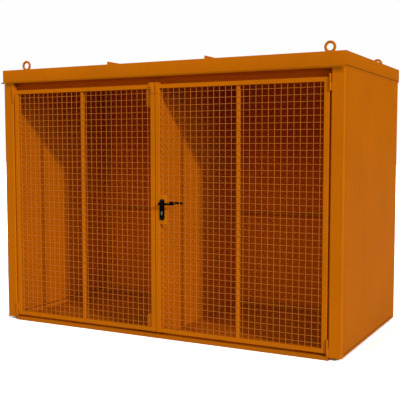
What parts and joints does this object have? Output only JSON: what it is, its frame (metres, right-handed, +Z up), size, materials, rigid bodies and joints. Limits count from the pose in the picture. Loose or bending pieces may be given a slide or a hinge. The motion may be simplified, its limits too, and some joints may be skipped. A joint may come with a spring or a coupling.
{
  "type": "gas cylinder storage container",
  "caption": "Painted steel gas cylinder container with mesh double doors, a middle partition and lifting eyes.",
  "frame": {"origin": "middle of the container's footprint, on the underside of the centre floor bearer", "axes": "+Z up, -Y out of the doors, +X to the right as seen from the front"},
  "size_m": [3.144, 1.612, 2.306],
  "materials": {
    "orange_paint": "satin",
    "mesh_paint": "satin",
    "black_handle": "matte",
    "lock_metal": "brushed",
    "dark_steel": "satin"
  },
  "bodies": {
    "container": {"front_sill": "orange_paint", "rear_sill": "orange_paint", "side_sills": "orange_paint", "floor_bearers": "orange_paint", "floor_plate": "orange_paint", "front_posts": "orange_paint", "rear_posts": "orange_paint", "right_wall": "orange_paint", "left_wall": "orange_paint", "rear_wall": "orange_paint", "partition": "orange_paint", "partition_head": "orange_paint", "restraint_rails": "orange_paint", "door_header": "orange_paint", "front_fascia": "orange_paint", "rear_fascia": "orange_paint", "side_fascias": "orange_paint", "roof_sheets": "orange_paint", "seam_caps": "orange_paint", "lifting_eyes": "orange_paint", "post_hinges": "orange_paint", "stay_pin": "dark_steel"},
    "left_door": {"left_door_stiles": "orange_paint", "left_door_rails": "orange_paint", "left_door_centre_bar": "orange_paint", "left_door_upright_wires": "mesh_paint", "left_door_cross_wires": "mesh_paint", "left_door_hinges": "orange_paint", "left_stop_plate": "orange_paint", "shoot_bolts": "orange_paint"},
    "right_door": {"right_door_stiles": "orange_paint", "right_door_rails": "orange_paint", "right_door_centre_bar": "orange_paint", "right_door_upright_wires": "mesh_paint", "right_door_cross_wires": "mesh_paint", "right_door_hinges": "orange_paint", "right_stop_plate": "orange_paint", "lock_case": "orange_paint", "handle_plates": "black_handle", "lock_cylinder": "lock_metal"},
    "lever": {"lever_handles": "black_handle"}
  },
  "joints": [
    {"name": "left_door_hinge", "type": "hinge", "parent": "container", "child": "left_door", "pos_m": [-1.443, -0.782, 1.045], "axis": [0, 0, -1], "range_deg": [0, 170]},
    {"name": "right_door_hinge", "type": "hinge", "parent": "container", "child": "right_door", "pos_m": [1.443, -0.782, 1.045], "axis": [0, 0, 1], "range_deg": [0, 170]},
    {"name": "lever_turn", "type": "hinge", "parent": "right_door", "child": "lever", "pos_m": [0.066, -0.754, 1.096], "axis": [0, 1, 0], "range_deg": [0, 40], "stiffness_Nm_per_rad": 1.2, "springref_deg": -28.65}
  ]
}
